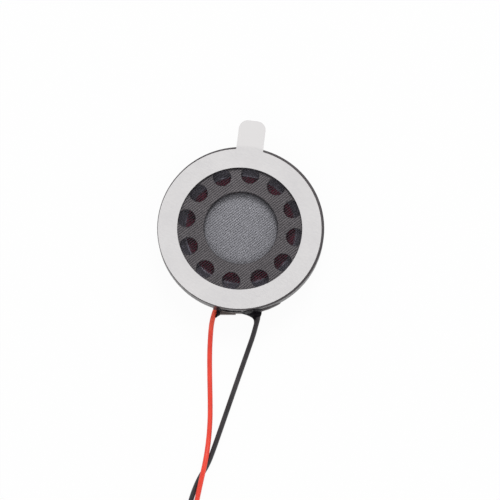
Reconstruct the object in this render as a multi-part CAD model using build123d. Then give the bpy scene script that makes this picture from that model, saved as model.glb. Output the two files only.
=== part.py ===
from build123d import *
import os
from math import degrees, pi, radians, sqrt, tan

# Mini speaker: a round moving-coil speaker in a pressed-steel basket, with a peel-off
# adhesive ring on its sound side and two hook-up leads.
# Millimetres. +Z is the sound side, the rear face of the magnet cup lies on Z = 0, the
# speaker's axis is Z, and the leads leave towards -Y.

os.makedirs("parts", exist_ok=True)

# ---- driving dimensions -------------------------------------------------------------

# frame (pressed-steel basket)
frame_d = 20.0
frame_h = 2.25  # from the floor's underside to the rim's top
frame_t = 0.35  # sheet
frame_seat_z = 1.75  # the floor's underside above the resting face
lip_t = 0.15  # rim swaged thin and folded over the cover
lip_w = 0.65  # from the wall's outside to the lip's inner edge
frame_bend_r = 0.45  # outside of the bend between floor and wall
rim_round_r = 0.2
vent_d = 1.4
vent_circle_d = 15.8
vent_count = 6  # one place of the six is taken by the terminal board

# motor
yoke_wall = 1.2
yoke_floor = 0.7
yoke_seat_w = 0.3  # shoulder that the frame's floor sits on
yoke_edge_r = 0.3
magnet_d = 8.4
magnet_t = 1.0
plate_d = 8.6
plate_t = 0.6
plate_edge = 0.08
coil_wall = 0.4
coil_gap_in = 0.25
coil_gap_out = 0.2
coil_travel = 0.2  # each way
coil_floor_gap = 0.2  # left under the coil at its lowest
coil_rise = 0.65  # from the yoke's top to the film that the coil hangs from
coil_edge_r = 0.08

# diaphragm and what holds its rim
film_t = 0.06
dome_rise = 0.35
land_in = 0.15  # the flat land starts this far inside the coil
bond_w = 1.65  # width of the bonding ring outside the coil
bond_drop = 0.25
bond_edge_t = 0.04
bond_hollow = (0.33, 0.5)  # where the bead's section bends, as shares of its width and drop
roll_rise = 0.18  # crown of the roll above the clamped rim
clamp_w = 0.7
clamp_h = 0.4

# front cover
cover_t = 0.3
centre_hole_d = 8.86
hole_d = 2.15
hole_circle_d = 13.2
hole_count = 12
hole_turn = -10.0  # the first hole, in degrees from +Y
punch_break = 0.05

# cloth, tape and liner on the front
mesh_t = 0.12
mesh_inset = 0.15
tape_t = 0.15
tape_inset = 0.225
tape_w = 2.3
tape_shift = (-0.12, -0.15)  # stuck on by hand, slightly off centre
liner_t = 0.1
tab_w = 3.25
tab_reach = 3.6
tab_corner_r = 1.1
tab_turn = -7.0  # degrees from +Y

# rear damping cloth
cloth_t = 0.12
cloth_margin = 0.35
cloth_gap_deg = 66.0  # left open for the terminal board

# terminal board, its pads and joints
board_t = 0.5
board_w = 5.9
board_x = -0.35
board_yoke_gap = 0.3
nub_w = 1.9
nub_x = -1.55
nub_proud = 0.12
pad_w = 1.3
pad_l = 1.9
pad_t = 0.035
pad_corner_r = 0.2
pad_x = (-2.6, 1.95)
pad_inset = 1.75  # pad centre inside the frame's outside
solder_r = 0.8
solder_h = 0.6
solder_shift = 0.05  # joint's centre outside the pad's centre

# coil tails
tail_d = 0.08
tail_hole_d = 0.4
tail_hole_inset = 0.4  # hole inside the pad's centre, towards the yoke
tail_gap = 0.01  # under the bonding ring
tail_start_x = 1.0  # where a tail leaves the coil, from the middle
tail_spread = 0.3  # how much further out it is halfway
tail_bend_r = 0.25

# leads
lead_d = 0.6
lead_bare_d = 0.34
lead_pad_gap = 0.035  # insulation under the pads
lead_joint_gap = 0.05  # insulation begins this far outside the joint's dome
lead_floor_gap = 0.005  # under a lead that lies on the table
cross_gap = 0.035  # between the leads where red passes over black

# Glue beads where the leads leave the board: plan as x and y from the frame's edge, and one
# side outline as y from the frame's edge and z. The smears are drawn up the wall from them.
bead_plan = {
    "red": [
        (-3.15, 0.40),
        (-2.32, 0.40),
        (-2.42, 0.00),
        (-2.70, -0.20),
        (-2.90, -0.40),
        (-3.00, -0.65),
        (-3.28, -0.65),
    ],
    "black": [
        (0.00, 0.40),
        (2.55, 0.40),
        (2.52, 0.00),
        (2.42, -0.45),
        (2.24, -1.10),
        (1.56, -1.10),
        (1.60, -0.70),
        (1.36, -0.45),
        (0.80, -0.22),
        (0.05, 0.05),
    ],
}
bead_side = [
    (0.40, 1.85),
    (0.00, 1.75),
    (-0.25, 1.50),
    (-0.65, 1.22),
    (-1.10, 1.12),
    (-1.10, 0.47),
    (0.00, 0.60),
    (0.40, 0.62),
]
smear_t = 0.12
smear_x = {"red": -2.58, "black": 1.05}
smear_w = {"red": 0.7, "black": 2.4}
smear_top_gap = 0.2  # below the frame's rim
smear_corner_r = 0.3

# put-away length of both leads, one coil
coil_turn_r = 3.3  # axis of the black lead's turns; the red lead's lie round them
coil_gap = 0.02  # between turns
coil_turns = 3.4
coil_corner = 0.28
tie_t = 0.1
tie_w = 1.3
tie_at = 135.0  # degrees about the coil's centre
tip_l = 2.5
tip_at = {"red": 72.0, "black": 250.0}  # where each bare end starts, in degrees

# fits between pieces
slip = 0.03  # ring or disc dropped into the frame
spigot_fit = 0.02
film_trim = 0.05  # film cut short of the rings that clamp it

# ---- worked out ---------------------------------------------------------------------

frame_r = frame_d / 2
wall_r = frame_r - frame_t
front_z = frame_seat_z + frame_h
floor_top_z = frame_seat_z + frame_t
ring_r = wall_r - slip

plate_r = plate_d / 2
coil_in_r = plate_r + coil_gap_in
coil_out_r = coil_in_r + coil_wall
yoke_bore_r = coil_out_r + coil_gap_out
yoke_r = yoke_bore_r + yoke_wall
spigot_r = yoke_r - yoke_seat_w
magnet_z = yoke_floor
plate_z = magnet_z + magnet_t
yoke_top_z = plate_z + plate_t
land_z = yoke_top_z + coil_rise
coil_bottom_z = yoke_floor + coil_floor_gap + coil_travel

cover_z = front_z - cover_t
clamp_z = cover_z - clamp_h
rim_z = clamp_z - film_t
clamp_in_r = ring_r - clamp_w
dome_r = coil_in_r - land_in
land_r = coil_out_r + bond_w

mesh_z = front_z
tape_z = mesh_z + mesh_t
liner_z = tape_z + tape_t
tape_r = frame_r - tape_inset

board_z = frame_seat_z - board_t
pad_z = board_z - pad_t
pad_y = -(frame_r - pad_inset)
hole_y = pad_y + tail_hole_inset
joint_y = pad_y - solder_shift
pads = {"red": pad_x[0], "black": pad_x[1]}

frame_bend_in_r = frame_bend_r - frame_t
tail_z = land_z - bond_drop - tail_gap - tail_d / 2
lead_z = pad_z - lead_pad_gap - lead_d / 2  # axis height under the board
lead_start = solder_r + lead_joint_gap
floor_z = lead_floor_gap + lead_d / 2  # axis height on the table
cross_z = floor_z + lead_d + cross_gap

coil_pitch = lead_d + coil_gap
coil_mid_r = coil_turn_r + coil_pitch / 2
coil_w = coil_pitch + lead_d
coil_h = lead_d + coil_pitch * (coil_turns - 1)
coil_mid_z = tie_t + coil_h / 2

# ---- routes of the leads --------------------------------------------------------------

# Axis points: x, y from the frame's edge, z. They start where the leads leave the board.
red_route = [
    (-3.17, 0.25, lead_z),
    (-3.50, -1.00, 0.80),
    (-3.63, -2.40, 0.52),
    (-3.72, -4.10, floor_z),
    (-3.73, -6.40, floor_z),
    (-3.61, -11.60, floor_z),
    (-3.70, -13.80, floor_z),
    (-3.84, -15.30, 0.36),
    (-4.00, -16.60, 0.66),
    (-4.21, -17.85, cross_z),
    (-4.50, -19.20, cross_z),
    (-4.79, -20.50, 0.86),
    (-5.08, -21.85, 0.64),
    (-5.40, -23.30, 0.40),
    (-5.78, -25.20, floor_z),
    (-6.10, -27.10, floor_z),
]
black_route = [
    (2.17, 0.00, lead_z),
    (1.88, -1.20, 0.78),
    (1.56, -2.50, 0.50),
    (1.02, -4.00, floor_z),
    (-0.50, -8.20, floor_z),
    (-3.32, -16.50, floor_z),
    (-3.98, -18.10, floor_z),
    (-4.88, -19.55, floor_z),
    (-5.58, -21.20, floor_z),
    (-6.10, -23.00, floor_z),
    (-6.48, -24.85, floor_z),
    (-6.76, -26.80, floor_z),
]
coil_centre = (-10.2, -28.2)
routes = {"red": red_route, "black": black_route}


# ---- helpers ------------------------------------------------------------------------


def save(node, shape):
    shape.label = node
    export_step(shape, "parts/" + node + ".step")


def cap_height(radius, cap_r, rise):
    """Height of a spherical cap over its foot, at a distance from its axis."""
    sphere_r = (cap_r**2 + rise**2) / (2 * rise)
    return sqrt(sphere_r**2 - radius**2) - (sphere_r - rise)


def ring(outer, inner, z, height):
    return Pos(0, 0, z) * extrude(Circle(outer) - Circle(inner), height)


def disc(radius, z, height):
    return Pos(0, 0, z) * extrude(Circle(radius), height)


def turned(outline):
    """Turn a closed outline, given in the XZ plane, about Z."""
    return revolve(make_face(outline), Axis.Z)


def rz(radius, z):
    return (radius, 0, z)


def circles(solid, radius, z):
    """The solid's circular edges of one radius at one height."""
    near = 1e-4
    edges = solid.edges().filter_by(GeomType.CIRCLE)
    return [e for e in edges if abs(e.radius - radius) < near and abs(e.arc_center.Z - z) < near]


def around(count, radius, start, shape):
    """Copies of a sketch on a circle, turned clockwise from +Y."""
    step = 360 / count
    return [Rot(0, 0, start - k * step) * Pos(0, radius) * shape for k in range(count)]


# ---- motor --------------------------------------------------------------------------


def make_yoke():
    outline = Polyline(
        rz(0, 0),
        rz(yoke_r, 0),
        rz(yoke_r, frame_seat_z),
        rz(spigot_r, frame_seat_z),
        rz(spigot_r, yoke_top_z),
        rz(yoke_bore_r, yoke_top_z),
        rz(yoke_bore_r, yoke_floor),
        rz(0, yoke_floor),
        close=True,
    )
    cup = turned(outline)
    cup = fillet(circles(cup, yoke_r, 0), yoke_edge_r)
    return chamfer(circles(cup, yoke_bore_r, yoke_top_z), plate_edge)


def make_magnet():
    body = disc(magnet_d / 2, magnet_z, magnet_t)
    return chamfer(body.edges(), plate_edge)


def make_top_plate():
    body = disc(plate_r, plate_z, plate_t)
    return fillet(circles(body, plate_r, yoke_top_z), plate_edge)


def make_voice_coil():
    body = ring(coil_out_r, coil_in_r, coil_bottom_z, land_z - coil_bottom_z)
    return fillet(circles(body, coil_out_r, coil_bottom_z), coil_edge_r)


def make_bond_ring():
    """Bonding ring: a hollow bead between the coil and the film's flat land."""
    across, down = bond_hollow
    outline = Polyline(
        rz(coil_out_r, land_z),
        rz(coil_out_r, land_z - bond_drop),
        rz(coil_out_r + across * bond_w, land_z - down * bond_drop),
        rz(land_r, land_z - bond_edge_t),
        rz(land_r, land_z),
        close=True,
    )
    return turned(outline)


# ---- diaphragm ----------------------------------------------------------------------


def film_face(lift):
    """One face of the film, from the axis to the rim, raised by lift."""
    crown_r = (land_r + clamp_in_r) / 2
    top = rz(0, land_z + dome_rise + lift)
    half = rz(dome_r / 2, land_z + cap_height(dome_r / 2, dome_r, dome_rise) + lift)
    foot = rz(dome_r, land_z + lift)
    land = rz(land_r, land_z + lift)
    crown = rz(crown_r, rim_z + roll_rise + lift)
    rim = rz(clamp_in_r, rim_z + lift)
    edge = rz(ring_r - film_trim, rim_z + lift)
    return [
        ThreePointArc(top, half, foot),
        Line(foot, land),
        ThreePointArc(land, crown, rim),
        Line(rim, edge),
    ]


def make_diaphragm():
    lower = film_face(0)
    upper = film_face(film_t)
    ends = [Line(lower[0] @ 0, upper[0] @ 0), Line(lower[-1] @ 1, upper[-1] @ 1)]
    return turned(Curve() + lower + upper + ends)


def make_spacer_ring():
    """Moulded ring on the frame's floor, its corner cut to clear the frame's bend."""
    body = ring(ring_r, clamp_in_r, floor_top_z, rim_z - floor_top_z)
    return chamfer(circles(body, ring_r, floor_top_z), frame_bend_in_r)


def make_diaphragm_ring():
    return ring(ring_r, clamp_in_r, clamp_z, clamp_h)


# ---- casing -------------------------------------------------------------------------


def make_frame():
    lip_r = frame_r - lip_w
    hole_r = spigot_r + spigot_fit
    outline = Polyline(
        rz(hole_r, frame_seat_z),
        rz(frame_r, frame_seat_z),
        rz(frame_r, front_z),
        rz(lip_r, front_z),
        rz(lip_r, front_z - lip_t),
        rz(wall_r, front_z - lip_t),
        rz(wall_r, floor_top_z),
        rz(hole_r, floor_top_z),
        close=True,
    )
    body = turned(outline)
    body = fillet(circles(body, frame_r, frame_seat_z), frame_bend_r)
    body = fillet(circles(body, wall_r, floor_top_z), frame_bend_in_r)
    body = fillet(circles(body, frame_r, front_z), rim_round_r)
    cuts = around(vent_count, vent_circle_d / 2, 0, Circle(vent_d / 2))
    del cuts[vent_count // 2]
    cuts += [Pos(x, hole_y) * Circle(tail_hole_d / 2) for x in pads.values()]
    return body - Pos(0, 0, frame_seat_z) * extrude(Sketch() + cuts, frame_t)


def make_front_cover():
    lip_gap_r = frame_r - lip_w - slip
    plate = disc(ring_r, cover_z, cover_t - lip_t) + disc(lip_gap_r, cover_z, cover_t)
    holes = around(hole_count, hole_circle_d / 2, hole_turn, Circle(hole_d / 2))
    holes.append(Circle(centre_hole_d / 2))
    plate -= Pos(0, 0, cover_z) * extrude(Sketch() + holes, cover_t)
    edges = circles(plate, centre_hole_d / 2, front_z) + circles(plate, hole_d / 2, front_z)
    return chamfer(edges, punch_break)


def make_vent_cloth():
    """Cloth ring on the floor's underside, open where the terminal board sits."""
    inner = yoke_r + cloth_margin
    outer = frame_r - frame_bend_r - cloth_margin
    reach = 2 * outer
    half = cloth_gap_deg / 2
    side = reach * tan(radians(half))
    gap = make_face(Polyline((0, 0), (side, -reach), (-side, -reach), close=True))
    return Pos(0, 0, frame_seat_z - cloth_t) * extrude(Circle(outer) - Circle(inner) - gap, cloth_t)


# ---- front layers -------------------------------------------------------------------


def make_dust_mesh():
    return disc(frame_r - mesh_inset, mesh_z, mesh_t)


def make_adhesive_ring():
    return Pos(*tape_shift, 0) * ring(tape_r, tape_r - tape_w, tape_z, tape_t)


def make_release_liner():
    tab_l = tape_w / 2 + tab_reach
    tab = Pos(0, tape_r + tab_reach - tab_l / 2) * RectangleRounded(tab_w, tab_l, tab_corner_r)
    outline = Circle(tape_r) + Rot(0, 0, tab_turn) * tab
    outline -= Circle(tape_r - tape_w)
    return Pos(*tape_shift, liner_z) * extrude(outline, liner_t)


# ---- terminals ----------------------------------------------------------------------


def make_terminal_board():
    """Board segment between the yoke and the frame's edge, with its break-off nub."""
    inner = yoke_r + board_yoke_gap
    strip = Pos(board_x, -frame_r / 2) * Rectangle(board_w, frame_r)
    shape = strip & Circle(frame_r) - Circle(inner)
    nub_l = frame_r - inner
    nub_y = -(frame_r + nub_proud) + nub_l / 2
    shape += Pos(nub_x, nub_y) * Rectangle(nub_w, nub_l)
    shape -= [Pos(x, hole_y) * Circle(tail_hole_d / 2) for x in pads.values()]
    return Pos(0, 0, board_z) * extrude(shape, board_t)


def make_terminal_pads():
    pad = RectangleRounded(pad_w, pad_l, pad_corner_r)
    shape = Sketch() + [Pos(x, pad_y) * pad for x in pads.values()]
    shape -= [Pos(x, hole_y) * Circle(tail_hole_d / 2) for x in pads.values()]
    return Pos(0, 0, pad_z) * extrude(shape, pad_t)


def lead_points(colour):
    """The lead's axis points, its first where the insulation begins."""
    route = [Vector(x, y - frame_r, z) for x, y, z in routes[colour]]
    joint = joint_axis(colour)
    return [joint + (route[0] - joint).normalized() * lead_start] + route


def joint_axis(colour):
    """Where the lead's axis meets the axis of its solder joint."""
    return Vector(pads[colour], joint_y, lead_z)


def make_solder_joint(colour):
    """Domed joint under the pad, with the bare strands running out to the insulation."""
    rim = rz(solder_r, 0)
    top = rz(0, -solder_h)
    belly = rz(solder_r / 2, -cap_height(solder_r / 2, solder_r, solder_h))
    outline = Curve() + [ThreePointArc(rim, belly, top), Line(top, rz(0, 0)), Line(rz(0, 0), rim)]
    dome = Pos(pads[colour], joint_y, pad_z) * turned(outline)
    start = joint_axis(colour)
    strands = Plane(start, z_dir=lead_points(colour)[0] - start) * Circle(lead_bare_d / 2)
    return dome + extrude(strands, lead_start)


def make_coil_tail(colour):
    """Fine wire from the coil, under the film, down through frame and board to the joint."""
    x = pads[colour]
    side = 1 if x > 0 else -1
    start_x = side * tail_start_x
    start_y = -sqrt((coil_out_r + tail_d / 2) ** 2 - start_x**2)
    points = [
        (start_x, start_y, tail_z),
        (start_x + side * tail_spread, (start_y + hole_y) / 2, tail_z),
        (x, hole_y, tail_z),
        (x, hole_y, pad_z),
    ]
    path = FilletPolyline(*points, radius=tail_bend_r)
    return sweep(Plane(path @ 0, z_dir=path % 0) * Circle(tail_d / 2), path)


# ---- leads --------------------------------------------------------------------------


def corner_radii(points):
    """The largest tidy arc at each corner: 0.45 of its shorter run over tan(half turn)."""
    radii = []
    for a, b, c in zip(points, points[1:], points[2:]):
        before = Vector(*b) - Vector(*a)
        after = Vector(*c) - Vector(*b)
        half = radians(before.get_angle(after) / 2)
        radii.append(0.45 * min(before.length, after.length) / tan(half))
    return radii


def make_lead(colour):
    points = lead_points(colour)
    radii = corner_radii(points)
    path = FilletPolyline(*points, radius=radii)
    tube = sweep(Plane(path @ 0, z_dir=path % 0) * Circle(lead_d / 2), path)
    fill = tube.volume / (path.length * pi * lead_d**2 / 4)
    print(colour, "lead: laid length %.1f mm, volume over section times length %.4f" % (path.length, fill))
    print("  radii", [round(r, 1) for r in radii])
    return tube


def make_bead(colour):
    """Bead of glue round a lead where it leaves the board."""
    plan = make_face(Polyline(*[(x, y - frame_r) for x, y in bead_plan[colour]], close=True))
    side = make_face(Polyline(*[(0, y - frame_r, z) for y, z in bead_side], close=True))
    return extrude(plan, 2 * frame_seat_z) & extrude(side, 2 * frame_r, both=True, dir=(1, 0, 0))


def make_smear(colour):
    """Skin of glue drawn up the frame's wall beside a lead."""
    height = front_z - smear_top_gap - board_z
    patch = RectangleRounded(smear_w[colour], height, smear_corner_r)
    block = extrude(Plane.XZ * Pos(smear_x[colour], board_z + height / 2) * patch, 2 * frame_r)
    return block & ring(frame_r + smear_t, frame_r, 0, front_z)


def make_lead_glue(colour, lead):
    """Glue on a lead, cut to the table, the frame, the board and the lead that it seats on."""
    blob = make_bead(colour) + make_smear(colour)
    blob -= Pos(0, 0, -frame_r) * Box(4 * frame_r, 4 * frame_r, 2 * frame_r)
    blob -= disc(frame_r, frame_seat_z, 2 * frame_h)
    blob -= make_terminal_board()
    blob -= lead
    return max(blob.solids(), key=lambda s: s.volume)


def coil_section(grow):
    """Section of the coil of leads, grown by a margin."""
    block = Rectangle(coil_w + 2 * grow, coil_h + 2 * grow)
    return Plane.XZ * Pos(coil_mid_r, coil_mid_z) * chamfer(block.vertices(), coil_corner + grow / 2)


def on_coil(turn, shape):
    """Move a shape made about Z to the coil, turned by an angle."""
    x, y = coil_centre
    return Pos(x, y - frame_r, 0) * Rot(0, 0, turn) * shape


def make_lead_coil():
    """Outer shape of the put-away turns of both leads."""
    return on_coil(0, revolve(coil_section(0), Axis.Z))


def make_coil_tie():
    """Band round the coil's section."""
    arc = degrees(tie_w / coil_mid_r)
    band = revolve(coil_section(tie_t) - coil_section(0), Axis.Z, arc)
    return on_coil(tie_at - arc / 2, band)


def make_lead_tip(colour):
    """Bare tinned end, lying on the coil's top along its curve."""
    radius = coil_turn_r + coil_pitch if colour == "red" else coil_turn_r
    z = tie_t + coil_h + lead_bare_d / 2
    section = Plane.XZ * Pos(radius, z) * Circle(lead_bare_d / 2)
    arc = degrees(tip_l / radius)
    return on_coil(tip_at[colour] - arc, revolve(section, Axis.Z, arc))


# ---- build --------------------------------------------------------------------------

save("yoke", make_yoke())
save("magnet", make_magnet())
save("top_plate", make_top_plate())
save("voice_coil", make_voice_coil())
save("coil_bond_ring", make_bond_ring())
save("diaphragm", make_diaphragm())
save("spacer_ring", make_spacer_ring())
save("diaphragm_ring", make_diaphragm_ring())
save("frame", make_frame())
save("front_cover", make_front_cover())
save("vent_cloth", make_vent_cloth())
save("dust_mesh", make_dust_mesh())
save("adhesive_ring", make_adhesive_ring())
save("release_liner", make_release_liner())
save("terminal_board", make_terminal_board())
save("terminal_pads", make_terminal_pads())
save("lead_coil", make_lead_coil())
save("coil_tie", make_coil_tie())
for colour in ("red", "black"):
    lead = make_lead(colour)
    save(colour + "_lead", lead)
    save("solder_joint_" + colour, make_solder_joint(colour))
    save("coil_tail_" + colour, make_coil_tail(colour))
    save("lead_glue_" + colour, make_lead_glue(colour, lead))
    save(colour + "_lead_tip", make_lead_tip(colour))
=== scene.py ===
import math

import bmesh
import bpy
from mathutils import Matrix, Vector, noise


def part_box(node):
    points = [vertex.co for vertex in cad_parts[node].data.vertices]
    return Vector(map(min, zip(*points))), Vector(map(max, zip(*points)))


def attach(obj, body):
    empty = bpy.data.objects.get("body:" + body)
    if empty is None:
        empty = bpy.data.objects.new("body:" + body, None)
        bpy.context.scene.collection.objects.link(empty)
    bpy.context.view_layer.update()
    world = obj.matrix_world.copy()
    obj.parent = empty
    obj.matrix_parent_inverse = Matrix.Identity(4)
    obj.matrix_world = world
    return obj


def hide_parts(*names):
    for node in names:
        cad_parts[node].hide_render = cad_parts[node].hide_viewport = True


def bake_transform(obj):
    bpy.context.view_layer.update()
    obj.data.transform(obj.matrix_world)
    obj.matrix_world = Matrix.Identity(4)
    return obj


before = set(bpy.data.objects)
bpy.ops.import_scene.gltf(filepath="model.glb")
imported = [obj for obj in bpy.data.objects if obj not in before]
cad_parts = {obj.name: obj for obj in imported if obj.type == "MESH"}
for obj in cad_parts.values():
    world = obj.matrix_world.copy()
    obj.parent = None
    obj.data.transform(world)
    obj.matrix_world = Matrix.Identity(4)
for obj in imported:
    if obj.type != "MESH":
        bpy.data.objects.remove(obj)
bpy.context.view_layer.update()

# Mini speaker: finishes, woven cloth, film, glue and leads over the CAD frame. Lengths are in
# millimetres unless a note says otherwise, and MM turns them into the scene's metres.

MM = 0.001
scene = bpy.context.scene


# ---- levels and radii, from the frame where a box gives them ----


def low(node):
    """The lower corner of a CAD node's box, in metres."""
    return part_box(node)[0]


def high(node):
    """The upper corner of a CAD node's box, in metres."""
    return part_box(node)[1]


wall_r = high("frame").x / MM
front_z = high("frame").z / MM
land_z = high("coil_bond_ring").z / MM
land_r = high("coil_bond_ring").x / MM
coil_in_r = 4.55
dome_foot_r = 4.4
film_edge_r = high("diaphragm").x / MM
rim_z = high("spacer_ring").z / MM
clamp_in_r = 8.92
pad_z = low("terminal_pads").z / MM


# ---- node trees ----


class Term:
    """A socket with arithmetic: each operator adds the Math node that it stands for."""

    def __init__(self, nodes, socket):
        self.nodes = nodes
        self.socket = socket

    def math(self, operation, *others):
        values = dict(enumerate((self, *others)))
        return self.nodes.term("ShaderNodeMath", values, operation=operation)

    def __add__(self, other):
        return self.math("ADD", other)

    def __sub__(self, other):
        return self.math("SUBTRACT", other)

    def __rsub__(self, other):
        return self.nodes.term("ShaderNodeMath", {0: other, 1: self}, operation="SUBTRACT")

    def __mul__(self, other):
        return self.math("MULTIPLY", other)

    def __truediv__(self, other):
        return self.math("DIVIDE", other)

    __radd__ = __add__
    __rmul__ = __mul__

    def sine(self):
        return self.math("SINE")

    def size(self):
        return self.math("ABSOLUTE")

    def above(self, edge):
        return self.math("GREATER_THAN", edge)

    def clipped(self):
        return self.math("MINIMUM", 1.0).math("MAXIMUM", 0.0)


class Nodes:
    """A shader or geometry tree, built node by node."""

    def __init__(self, tree):
        self.tree = tree

    def node(self, kind, values=None, **settings):
        """A node with its settings, then the values or links of its sockets."""
        made = self.tree.nodes.new(kind)
        for key, value in settings.items():
            setattr(made, key, value)
        for key, value in (values or {}).items():
            self.feed(made.inputs[key], value)
        return made

    def term(self, kind, values=None, output=0, **settings):
        """One output of a new node."""
        return Term(self, self.node(kind, values, **settings).outputs[output])

    def feed(self, socket, value):
        if isinstance(value, Term):
            value = value.socket
        if isinstance(value, bpy.types.NodeSocket):
            self.tree.links.new(value, socket)
        else:
            socket.default_value = value

    def axis(self, vector, name):
        """X, Y or Z of a vector."""
        return self.term("ShaderNodeSeparateXYZ", {0: vector}, name)

    def vector(self, x=0.0, y=0.0, z=0.0):
        return self.term("ShaderNodeCombineXYZ", {0: x, 1: y, 2: z})

    def joined(self, *parts):
        """Geometry of all the parts, with no instances left."""
        join = self.node("GeometryNodeJoinGeometry")
        for part in parts:
            self.feed(join.inputs[0], part)
        return self.term("GeometryNodeRealizeInstances", {"Geometry": join.outputs[0]})

    def range(self, term, low_in, high_in, low_out=0.0, high_out=1.0):
        """The term carried from one range to another, and held at the ends of it."""
        values = {"Value": term, 1: low_in, 2: high_in, 3: low_out, 4: high_out}
        return self.term("ShaderNodeMapRange", values, clamp=True)


def rgb(red, green, blue):
    """A colour given as 0 to 255 display values, made linear."""
    channels = [c / 255 for c in (red, green, blue)]
    return (*[c / 12.92 if c <= 0.04045 else ((c + 0.055) / 1.055) ** 2.4 for c in channels], 1.0)


def shaded(colour, share):
    """A colour brought down to a share of its brightness."""
    return [share * c for c in colour[:3]] + [1.0]


class Finish(Nodes):
    """A material with one Principled shader, its patterns in millimetres of the object."""

    def __init__(self, name, colour, **constants):
        self.material = bpy.data.materials.new(name)
        self.material.use_nodes = True
        super().__init__(self.material.node_tree)
        self.tree.nodes.clear()
        self.shader = self.node("ShaderNodeBsdfPrincipled")
        self.node("ShaderNodeOutputMaterial", {"Surface": self.shader.outputs[0]})
        self.set("Base Color", colour)
        for key, value in constants.items():
            self.set(key.replace("_", " ").title().replace("Ior", "IOR"), value)

    def set(self, socket, value):
        self.feed(self.shader.inputs[socket], value)

    def fed(self, socket):
        """What now feeds a socket of the shader."""
        return Term(self, self.shader.inputs[socket].links[0].from_socket)

    def place(self, turn=0.0, stretch=(1.0, 1.0, 1.0)):
        """Object coordinates in millimetres, turned about Z and stretched."""
        at = self.node("ShaderNodeTexCoord").outputs["Object"]
        turned = self.term("ShaderNodeMapping", {"Vector": at, "Rotation": (0.0, 0.0, turn)})
        scale = [s / MM for s in stretch]
        return self.term("ShaderNodeVectorMath", {0: turned, 1: scale}, operation="MULTIPLY")

    def radius(self):
        """Distance from the speaker's axis in millimetres."""
        flat = self.place(0.0, (1.0, 1.0, 0.0))
        return self.term("ShaderNodeVectorMath", {0: flat}, 1, operation="LENGTH")

    def noise(self, per_mm, detail=2.0, rough=0.5, turn=0.0, stretch=(1.0, 1.0, 1.0)):
        place = self.place(turn, stretch)
        values = {"Vector": place, "Scale": per_mm, "Detail": detail, "Roughness": rough}
        return self.term("ShaderNodeTexNoise", values)

    def cells(self, per_mm):
        return self.term("ShaderNodeTexVoronoi", {"Vector": self.place(), "Scale": per_mm})

    def mix(self, share, first, second):
        values = {0: share, 6: first, 7: second}
        return self.term("ShaderNodeMix", values, 2, data_type="RGBA")

    def tint(self, term, first, second, low_in=0.0, high_in=1.0):
        """The base colour, from the first to the second as the term rises."""
        self.set("Base Color", self.mix(self.range(term, low_in, high_in), first, second))

    def roughen(self, term, first, second, low_in=0.3, high_in=0.7):
        """The roughness, from the first to the second as the term rises."""
        self.set("Roughness", self.range(term, low_in, high_in, first, second))

    def bump(self, height, depth):
        """Relief of a height from 0 to 1 at a depth in millimetres; it ends a finish."""
        values = {"Height": height, "Distance": depth * MM, "Strength": 1.0}
        self.set("Normal", self.term("ShaderNodeBump", values))
        return self


# ---- making pieces ----

bead_sides = 28
weld_reach = 0.002


def add_object(name, data):
    made = bpy.data.objects.new(name, data)
    scene.collection.objects.link(made)
    return made


def add_mesh(name, points, faces):
    """A smooth object from points in millimetres."""
    mesh = bpy.data.meshes.new(name)
    mesh.from_pydata([Vector(p) * MM for p in points], [], faces)
    mesh.polygons.foreach_set("use_smooth", [True] * len(faces))
    mesh.update()
    return add_object(name, mesh)


def weld(piece):
    """Merge doubles of a piece and point its faces outwards."""
    mesh = bmesh.new()
    mesh.from_mesh(piece.data)
    bmesh.ops.remove_doubles(mesh, verts=mesh.verts, dist=weld_reach * MM)
    bmesh.ops.recalc_face_normals(mesh, faces=mesh.faces)
    mesh.to_mesh(piece.data)
    mesh.free()


def new_curve(name, thickness, sides):
    """An empty curve with a round section and closed ends."""
    curve = bpy.data.curves.new(name, "CURVE")
    curve.dimensions = "3D"
    curve.bevel_depth = thickness * MM / 2
    curve.bevel_resolution = sides
    curve.use_fill_caps = True
    return curve


def as_mesh(source, name):
    """The source as shown, as a plain mesh object; the source is removed."""
    shown = source.evaluated_get(bpy.context.evaluated_depsgraph_get())
    mesh = bpy.data.meshes.new_from_object(shown)
    mesh.name = name
    made = add_object(name, mesh)
    bpy.data.objects.remove(source)
    return made


def paint(piece, finish):
    piece.data.materials.clear()
    piece.data.materials.append(finishes[finish].material)


def finish_piece(piece, finish, slot, body, *nodes):
    """Paint a piece, hang it on its body and hide the CAD nodes that it stands for; slot is not used."""
    if finish:
        paint(piece, finish)
    if body:
        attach(piece, body)
    if nodes:
        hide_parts(*nodes)
    return piece


def turned_shell(name, profile, steps, relief=None):
    """A closed shell turned about Z from a profile of (radius, lower z, upper z).

    The profile runs outwards, and a first radius of 0 gives a pole. relief(radius, angle)
    lifts both faces."""
    points, rings = [], []
    for radius, lower, upper in profile:
        for side in (lower, upper):
            if radius == 0:
                rings.append([len(points)] * steps)
                points.append((0.0, 0.0, side))
                continue
            rings.append(list(range(len(points), len(points) + steps)))
            for k in range(steps):
                angle = 2 * math.pi * k / steps
                lift = relief(radius, angle) if relief else 0.0
                points.append((radius * math.cos(angle), radius * math.sin(angle), side + lift))
    skins = []
    for i in range(0, len(rings) - 2, 2):
        skins += [(rings[i + 2], rings[i]), (rings[i + 1], rings[i + 3])]
    if profile[0][0]:
        skins.append((rings[0], rings[1]))
    skins.append((rings[-1], rings[-2]))
    faces = []
    for k in range(steps):
        m = (k + 1) % steps
        for first, second in skins:
            faces.append(tuple(dict.fromkeys((first[k], second[k], second[m], first[m]))))
    return add_mesh(name, points, faces)


def wander(point, size, per_mm):
    """A small smooth stray, the same each run, as in hand-laid glue."""
    return size * noise.noise(Vector(point) * per_mm)


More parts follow.
